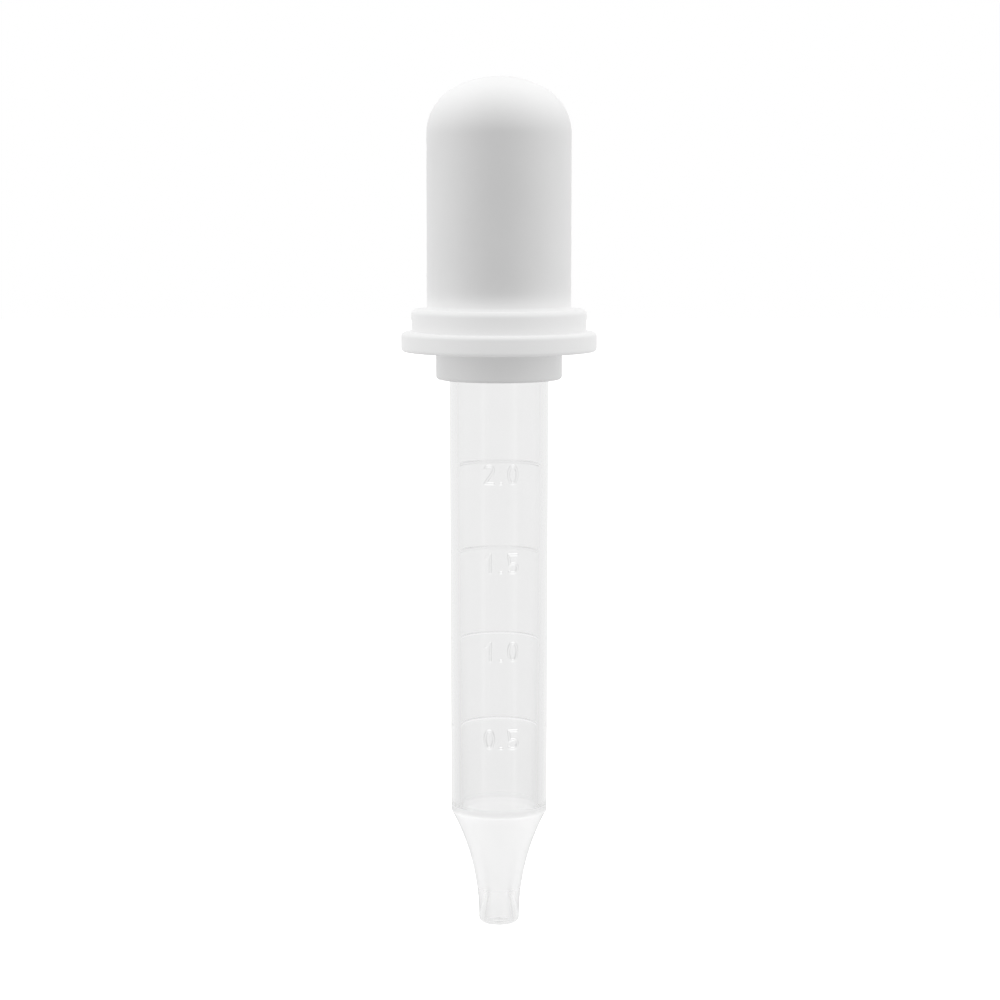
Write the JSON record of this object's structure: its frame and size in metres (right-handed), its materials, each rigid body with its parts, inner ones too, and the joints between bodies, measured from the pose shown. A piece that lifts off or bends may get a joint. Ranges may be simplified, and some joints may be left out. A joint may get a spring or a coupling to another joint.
{
  "type": "medicine dropper",
  "caption": "Squeeze-bulb medicine dropper: soft white bulb with a stepped flange and bottle plug, on a clear graduated tube with a tapered nozzle.",
  "frame": {"origin": "centre of the nozzle's end face, on the dropper's axis", "axes": "+Z along the axis from the nozzle to the bulb, numerals facing -Y, pressable flanks facing -X and +X"},
  "size_m": [0.02, 0.02, 0.0874],
  "materials": {
    "silicone": "satin",
    "clear_plastic": "gloss"
  },
  "bodies": {
    "bulb": {"squeeze_bulb": "silicone"},
    "left_flank": {"squeeze_panel_left": "silicone"},
    "right_flank": {"squeeze_panel_right": "silicone"},
    "tube": {"graduated_tube": "clear_plastic"}
  },
  "joints": [
    {"name": "squeeze_left", "type": "hinge", "parent": "bulb", "child": "left_flank", "pos_m": [-0.00413, 0, 0.0648], "axis": [0, 1, 0], "range_deg": [0, 12], "stiffness_Nm_per_rad": 0.0002},
    {"name": "squeeze_right", "type": "hinge", "parent": "bulb", "child": "right_flank", "pos_m": [0.00413, 0, 0.0648], "axis": [0, -1, 0], "range_deg": [0, 12]},
    {"name": "tube_pull_off", "type": "slide", "parent": "bulb", "child": "tube", "axis": [0, 0, -1], "range_m": [0, 0.0072], "stiffness_N_per_m": 50, "springref_m": -0.001}
  ],
  "couplings": [
    {"joint": "squeeze_right", "follows": "squeeze_left", "ratio": 1}
  ]
}
